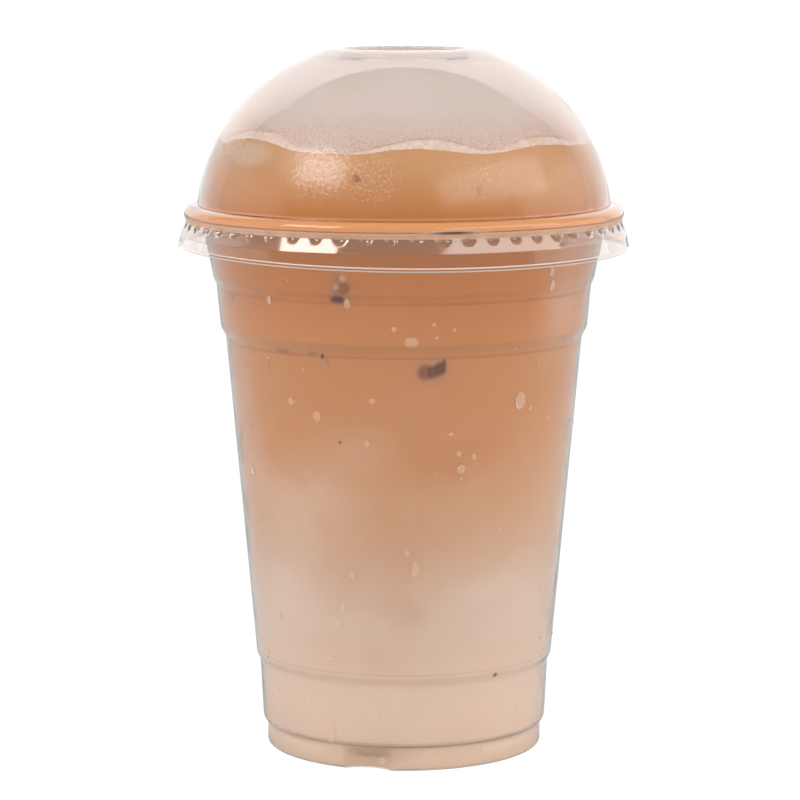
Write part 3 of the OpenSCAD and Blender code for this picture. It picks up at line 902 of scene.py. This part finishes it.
def meltedCube():
    # six square grids pulled onto |x|^p + |y|^p + |z|^p = 1, and joined where their edges meet
    line = np.tan(np.linspace(-np.pi / 4, np.pi / 4, iceMake["steps"] + 1))
    u, v = np.meshgrid(line, line, indexing="ij")
    sides = [np.roll(np.stack([side + 0 * u, u, v], axis=-1), axis, axis=-1)
             for axis in range(3) for side in (-1, 1)]
    points = np.stack(sides).reshape(-1, 3)
    _, first, number = np.unique(np.round(points, 6) + 0.0, axis=0, return_index=True, return_inverse=True)
    order = np.argsort(first)
    grid = np.argsort(order)[number.ravel()].reshape(6, len(line), len(line))
    quads = np.stack([grid[:, :-1, :-1], grid[:, 1:, :-1], grid[:, 1:, 1:], grid[:, :-1, 1:]], axis=-1)
    quads[::2] = quads[::2, ..., ::-1].copy()  # the sides at -1 face the other way
    points, p = points[first[order]], iceMake["power"]
    return points / (np.abs(points) ** p).sum(1)[:, None] ** (1 / p), quads.reshape(-1, 4)


def iceMaterial():
    # clear ice with milky veins
    material, tree, place = newMaterial("clearIce")
    veins = noiseValue(tree, place, 260.0, 4.0, 0.6, 0.8)
    relief = bumped(tree, veins, 0.3, 0.0004)
    clear = principled(tree, iceMake["clear"], 0.12, relief, IOR=1.31, Transmission_Weight=1.0)
    milky = principled(tree, paint(*iceMake["milk"]), 0.5, relief)
    body = blended(tree, ramped(tree, veins, 0.4, 0.68, *iceMake["milkShare"]), clear, milky)
    return finishMaterial(material, letLightThrough(tree, body))


clearIce = iceMaterial()
cubePoints, cubeFaces = meltedCube()
chance = np.random.default_rng(iceMake["seed"])
for node, (angle, tilt, turn) in iceMake["cubes"].items():
    low, high = (np.array(corner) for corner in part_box(node))
    spin = turnAbout("z", angle - 90) @ turnAbout("y", tilt) @ turnAbout("x", turn)
    wave = chance.uniform(0, 6.28, 3)
    # the surface sinks by a small share of the dent times a sum of sines over the three directions
    waves = 1 + np.sin(cubePoints * iceMake["dentWave"] + wave).sum(1)
    shape = cubePoints * (1 - iceMake["dent"] / 8 * waves / 4)[:, None] * iceMake["side"] / 2
    points = shape @ spin.T + (low + high) / 2 / mm
    piece = meshObject(node.replace("ice", "iceCube"), points, cubeFaces.tolist(), "cup")
    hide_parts(node)
    piece.data.materials.append(clearIce)
print("ice:", len(iceMake["cubes"]), "cubes")


# the breath of cold on the inside of the dome

fogMake = {
    "clear": 0.05, "thick": 0.08, "innerR": 16.5, "around": 360, "waveRows": 8, "longestRow": 2.5,
    # the height from which rows go down to the wavy edge, their gap, and where on the froth's lip they end
    "waveTop": 143.0, "waveGap": 0.5, "lipShare": 0.7,
    # the veil's two tints and cover; near the drink, between two heights in metres, it shines and has drops
    "tints": [(249, 243, 241), (243, 236, 232)], "cover": (0.64, 0.76), "nearTea": (0.1405, 0.149),
    "waver": 0.012, "shine": (248, 228, 214), "dots": (196, 172, 158), "colourShare": 0.6,
    "nearCover": 0.10, "dotCover": 0.12,
    # where it thins out on the flat top, and what is left of it there, for shadows, and as glow
    "thin": (0.1570, 0.1585), "thinTo": 0.3, "shadowShare": 0.45, "glowShare": 0.35,
}


def fogLine(inset):
    # the lid's own line, moved inwards, from the straw well to the height where the wavy edge begins
    m = fogMake
    line = offsetLine(dropTwins(lidOutside()[0]), -inset)
    line = line[(line[:, 1] > m["waveTop"] + m["waveGap"]) & (line[:, 0] > m["innerR"])]
    line = np.vstack([line, [domeInside(m["waveTop"], inset), m["waveTop"]]])
    return fillRows(line, m["longestRow"])


def fogRows(angle, inset):
    # the line all round, and below it even rows down to the wavy edge on the froth
    m = fogMake
    line = fogLine(inset)
    drop = np.linspace(0, 1, m["waveRows"] + 1)[1:, None]
    edge = waterline(angle) + frothLip(angle) * m["lipShare"]
    waveZ = m["waveTop"] + (edge - m["waveTop"]) * drop
    fogR = np.vstack([line[:, :1] + 0 * angle, domeInside(waveZ, inset)])
    return fogR, np.vstack([line[:, 1:] + 0 * angle, waveZ])


turns = roundTurns(fogMake["around"])
outerInset = lidMake["wall"] + fogMake["clear"]
outerR, outerZ = fogRows(turns, outerInset)
innerR, innerZ = fogRows(turns, outerInset + fogMake["thick"])
points, faces = spun(np.vstack([outerR[::-1], innerR]), np.vstack([outerZ[::-1], innerZ]), turns, loop=True)
fogFilm = meshObject("fogFilm", points, faces, "lid")


def fogMaterial():
    # fine droplets: a veil that is thicker in patches, with specks near the drink where the drops have grown
    material, tree, place = newMaterial("dampVeil")
    p = fogMake
    height = heightOf(tree, place)
    wide = noiseValue(tree, place, 45.0, 3.0, 0.55, 0.4)
    nearTea = ramped(tree, shifted(tree, height, wide, p["waver"]), *p["nearTea"], 1.0, 0.0)
    dots = product(tree, ramped(tree, cellValue(tree, place, 2400.0), 0.12, 0.5, 1.0, 0.0), nearTea)
    colour = mixed(tree, ramped(tree, wide, 0.35, 0.65), *(paint(*tint) for tint in p["tints"]))
    colour = painted(tree, colour, p["shine"], nearTea, p["colourShare"])
    colour = painted(tree, colour, p["dots"], dots, p["colourShare"])
    cover = ramped(tree, wide, 0.3, 0.7, *p["cover"])
    cover = worked(tree, "ADD", cover, product(tree, nearTea, p["nearCover"]))
    cover = product(tree, cover, ramped(tree, height, *p["thin"], 1.0, p["thinTo"]))
    cover = worked(tree, "SUBTRACT", cover, product(tree, dots, p["dotCover"]))
    glow = putNode(tree, "ShaderNodeBsdfTranslucent", {"Color": colour}).outputs[0]
    veil = blended(tree, p["glowShare"], diffuse(tree, colour, 0.6), glow)
    clear = putNode(tree, "ShaderNodeBsdfTransparent").outputs[0]
    path = tree.nodes.new("ShaderNodeLightPath")
    shadow = ramped(tree, path.outputs["Is Shadow Ray"], 0.0, 1.0, 1.0, p["shadowShare"])
    return finishMaterial(material, blended(tree, product(tree, cover, shadow), clear, veil))


fogFilm.data.materials.append(fogMaterial())
print("fog:", len(faces), "faces")


# drops of water on the outside of the cup

dropMake = {
    # angle from the front and height of each large drop, its half width in mm and how much taller it is
    "drops": [(2.2, 98.3, 1.63, 0.67), (-43.9, 106.3, 0.7, 1.3), (-16.8, 106.5, 0.8, 1.2),
              (8.8, 102.1, 0.5, 1.0), (9.7, 99.2, 0.4, 1.0), (-3.0, 101.2, 0.6, 1.0),
              (-10.1, 85.0, 0.76, 0.9), (-29.0, 81.0, 1.0, 1.22), (40.1, 84.0, 1.45, 1.3),
              (44.8, 81.9, 0.4, 1.0), (48.2, 109.4, 0.8, 1.6), (47.1, 112.6, 0.7, 1.5),
              (-12.0, 75.4, 0.5, 1.3), (19.0, 69.5, 1.0, 1.0), (23.4, 72.1, 0.6, 1.2),
              (18.1, 73.0, 0.6, 1.0), (15.2, 77.5, 0.5, 1.0), (-38.9, 83.9, 0.7, 1.2),
              (-18.5, 45.4, 0.76, 1.14), (3.8, 46.9, 0.76, 2.29), (1.0, 50.8, 0.6, 1.3),
              (-22.4, 37.7, 0.6, 1.4), (-24.7, 33.6, 0.6, 1.3), (-28.6, 25.7, 0.7, 1.0),
              (-52.5, 33.9, 0.7, 1.2), (-11.3, 12.0, 0.8, 1.1), (-30.0, 8.5, 1.3, 1.8),
              (-9.0, 2.3, 0.65, 1.33), (-63.2, 66.2, 0.65, 1.33), (130, 90, 1.4, 1.2), (165, 60, 1.2, 1.4),
              (-140, 76, 1.5, 1.2), (-100, 52, 1.0, 1.5), (95, 74, 1.1, 1.3), (-175, 96, 1.3, 0.9)],
    # the small ones: how many, ranges of half width, height and tallness; the power makes most of them small
    "seed": 5, "small": 240, "smallR": (0.10, 0.34), "smallZ": (8.0, 112.0), "smallTall": (0.9, 1.5),
    "smallPower": 2,
    # a drop's rise by its half width, how much longer its lower half is, its gap to the wall, how far below
    # the rolled rim the wall ends, and the reach over which its slope is measured
    "rise": 0.5, "hang": 1.15, "lift": 0.01, "underRoll": 1.0, "slopeReach": 0.4,
    "rings": 5, "around": 14, "sharp": 70.0,
    # the water's tint, and the colour and share of painted pale light that brightens each drop as a lens
    # would
    "water": (0.99, 0.97, 0.96, 1), "milk": (238, 206, 178), "milkShare": 0.2,
}


def wallPoint(angle, height):
    # the cup's outer wall: its point, its outward normal, and the directions sideways and upwards on it
    line = cupLine[len(under):]
    line = line[: int(np.argmax(line[:, 1] > rollZ - dropMake["underRoll"])) or len(line)]
    near = dropMake["slopeReach"]
    below, radius, above = (np.interp(height + step, line[:, 1], line[:, 0]) for step in (-near, 0, near))
    slope = (above - below) / (2 * near)
    side = np.stack([np.cos(angle), np.sin(angle), 0 * angle], axis=-1)
    outward = np.stack([np.sin(angle), -np.cos(angle), 0 * angle], axis=-1)
    up = np.stack([outward[..., 0] * slope, outward[..., 1] * slope, 1 + 0 * angle], axis=-1)
    up /= np.linalg.norm(up, axis=-1)[..., None]
    point = outward * radius[..., None] + np.array([0, 0, 1]) * height[..., None]
    return point, np.cross(side, up), side, up


def dropRows():
    # angle, height, half width and tallness of the listed drops and of the scattered small ones
    m = dropMake
    chance = np.random.default_rng(m["seed"])
    angle, height = chance.uniform(-180, 180, m["small"]), chance.uniform(*m["smallZ"], m["small"])
    least, most = m["smallR"]
    size = chance.uniform(0, 1, m["small"]) ** m["smallPower"] * (most - least) + least
    tall = chance.uniform(*m["smallTall"], m["small"])
    return np.vstack([np.array(m["drops"], float), np.column_stack([angle, height, size, tall])])


def dropPoints():
    # each drop is a low cap on the wall, rings at (sin, cos) of a quarter turn, its lower half drawn out
    m = dropMake
    rows = dropRows()
    spot, normal, side, up = (part[:, None, :] for part in wallPoint(np.radians(rows[:, 0]), rows[:, 1]))
    quarter = np.linspace(0, np.pi / 2, m["rings"] + 1)[1:, None]
    ring = roundTurns(m["around"])
    u, v = np.sin(quarter) * np.cos(ring), np.sin(quarter) * np.sin(ring)
    v = np.where(v < 0, v * m["hang"], v)
    high = np.cos(quarter) + 0 * u
    # the tip of the cap comes first, then its rings
    u, v, high = (np.r_[tip, rest.ravel()][None, :, None] for tip, rest in ((0, u), (0, v), (1, high)))
    size, tall = rows[:, 2][:, None, None], rows[:, 3][:, None, None]
    points = spot + side * u * size + up * v * size * tall + normal * (high * size * m["rise"] + m["lift"])
    n, k = m["around"], np.arange(m["around"])
    faces = [(0, 1 + j, 1 + (j + 1) % n) for j in range(n)]
    for r in range(m["rings"] - 1):
        a, b = 1 + r * n, 1 + (r + 1) * n
        faces += np.stack([a + k, b + k, b + (k + 1) % n, a + (k + 1) % n], axis=-1).tolist()
    faces.append(tuple((1 + (m["rings"] - 1) * n + k)[::-1]))
    stride = points.shape[1]
    everyFace = [tuple(int(i) + d * stride for i in face) for d in range(len(rows)) for face in faces]
    return points.reshape(-1, 3), everyFace


points, faces = dropPoints()
waterDrops = meshObject("waterDrops", points, faces, "cup", dropMake["sharp"])


def waterMaterial():
    # clear water, with a share of painted pale light mixed in, for the glow a drop gathers as a lens
    material, tree, place = newMaterial("waterDrop")
    skin = bumped(tree, noiseValue(tree, place, 500.0, 1.0), 0.1, 0.0002)
    body = principled(tree, dropMake["water"], 0.02, skin, IOR=1.33, Transmission_Weight=1.0)
    # painted light: a pale dull share that brightens the drop's inside
    body = blended(tree, dropMake["milkShare"], body, diffuse(tree, paint(*dropMake["milk"])))
    return finishMaterial(material, letLightThrough(tree, body))


waterDrops.data.materials.append(waterMaterial())
print("drops:", len(faces), "faces")


# camera, floor, backdrop and lamps

viewMake = {
    "place": (-0.0009, -0.7453, 0.1860), "downDeg": 8.12, "lens": 147.04, "sensor": 36.0, "clip": (0.01, 50),
    "floorHalf": 4.2, "wallY": 2.5, "wallHalf": 3.6, "wallTop": 4.4, "fadeFrom": 1.4, "fadeTop": 0.33,
    # the papers' glow where they are seen, how white they are, and the backdrop's shine in gloss
    "glow": 0.92, "floorWhite": 0.62, "wallWhite": 0.75, "wallShine": 0.65, "thin": (0.15, 0.15, 0.15, 1),
    # colour and strength of the room's light, of what gloss and plastic catch of it, and of what is seen
    "surround": [((1.0, 0.985, 0.97, 1), 0.95), ((1.0, 0.97, 0.95, 1), 0.2), (white, 1.0)],
    # name, angle from the front and height angle in degrees, distance, width and height in metres, radiance
    "softBoxes": [("leftBox", -53.0, 34.5, 1.3, 0.66, 0.42, 3.5),
                  ("rightBox", 55.0, 27.5, 1.3, 1.60, 0.43, 1.35),
                  ("leftPanel", -100.0, 3.0, 1.3, 1.40, 0.85, 1.1),
                  ("rightPanel", 98.0, 3.0, 1.3, 1.46, 0.85, 1.75)],
    "aim": (0, 0, 0.09),
}

camera = bpy.data.objects.new("camera", bpy.data.cameras.new("camera"))
camera.data.lens, camera.data.sensor_width = viewMake["lens"], viewMake["sensor"]
camera.data.clip_start, camera.data.clip_end = viewMake["clip"]
camera.location = viewMake["place"]
camera.rotation_euler = (np.radians(90 - viewMake["downDeg"]), 0, 0)
bpy.context.scene.collection.objects.link(camera)
bpy.context.scene.camera = camera


def stagePlane(name, corners, material):
    # a flat sheet of the stage from its four corners in metres
    mesh = bpy.data.meshes.new(name)
    mesh.from_pydata(corners, [], [(0, 1, 2, 3)])
    mesh.materials.append(material)
    plane = bpy.data.objects.new(name, mesh)
    bpy.context.scene.collection.objects.link(plane)


def raysOf(tree):
    # two masks: rays that come straight or through plastic, and rays that gloss or plastic sent on
    path = tree.nodes.new("ShaderNodeLightPath").outputs
    direct = greatest(tree, path["Is Camera Ray"], path["Is Transmission Ray"])
    straight = product(tree, direct, worked(tree, "LESS_THAN", path["Glossy Depth"], 0.5))
    return straight, greatest(tree, path["Is Glossy Ray"], path["Is Transmission Ray"])


def lightOf(tree, kind, colour, strength):
    # a shader that shines with a colour and a strength
    return putNode(tree, kind, {"Color": colour, "Strength": strength}).outputs[0]


def paperMaterial(name, pale, shine=0.0):
    # pale paper that is white where it is seen straight or through plastic, and keeps a soft shadow;
    # a backdrop also shines in gloss, fading out towards its sides and its top
    material, tree, place = newMaterial(name)
    v = viewMake
    straight, mirrored = raysOf(tree)
    paper = diffuse(tree, (pale, pale, pale, 1))
    if shine:
        part = putNode(tree, "ShaderNodeSeparateXYZ", {0: place}).outputs
        aside = worked(tree, "ABSOLUTE", part["X"], 0.0)
        aside = ramped(tree, aside, v["fadeFrom"], v["wallHalf"], shine, 0.0)
        rise = ramped(tree, part["Z"], v["wallTop"] - v["fadeTop"], v["wallTop"], 1.0, 0.0)
        lamp = lightOf(tree, "ShaderNodeEmission", white, product(tree, aside, rise, mirrored))
        paper = putNode(tree, "ShaderNodeAddShader", {0: paper, 1: lamp}).outputs[0]
    light = lightOf(tree, "ShaderNodeEmission", white, v["glow"])
    lit = putNode(tree, "ShaderNodeAddShader", {0: light, 1: diffuse(tree, v["thin"])}).outputs[0]
    return finishMaterial(material, blended(tree, straight, paper, lit))


half, y, aside, top = (viewMake[key] for key in ("floorHalf", "wallY", "wallHalf", "wallTop"))
stagePlane("floor", [(-half, -half, 0), (half, -half, 0), (half, half, 0), (-half, half, 0)],
           paperMaterial("floorPaper", viewMake["floorWhite"]))
stagePlane("backdrop", [(-aside, y, 0.0), (aside, y, 0.0), (aside, y, top), (-aside, y, top)],
           paperMaterial("backdropPaper", viewMake["wallWhite"], viewMake["wallShine"]))

world = bpy.data.worlds.new("studio")
bpy.context.scene.world = world
world.use_nodes = True
tree = world.node_tree
tree.nodes.clear()
straight, mirrored = raysOf(tree)
room, walls, seen = (lightOf(tree, "ShaderNodeBackground", *light) for light in viewMake["surround"])
surround = blended(tree, straight, blended(tree, mirrored, room, walls), seen)
putNode(tree, "ShaderNodeOutputWorld", {"Surface": surround})

for name, angle, lift, distance, wide, high, radiance in viewMake["softBoxes"]:
    lamp = bpy.data.lights.new(name, "AREA")
    lamp.shape, lamp.size, lamp.size_y = "RECTANGLE", wide, high
    lamp.energy = radiance * np.pi * wide * high
    box = bpy.data.objects.new(name, lamp)
    a, e = np.radians(angle), np.radians(lift)
    away = np.array([np.sin(a) * np.cos(e), -np.cos(a) * np.cos(e), np.sin(e)])
    box.location = np.array(viewMake["aim"]) + away * distance
    box.rotation_euler = (np.pi / 2 - e, 0, a)
    box.visible_glossy = not name.endswith("Panel")  # the side panels only light, and aren't mirrored
    bpy.context.scene.collection.objects.link(box)

bpy.context.scene.view_settings.view_transform = "Standard"
print("camera, floor and lamps stand")
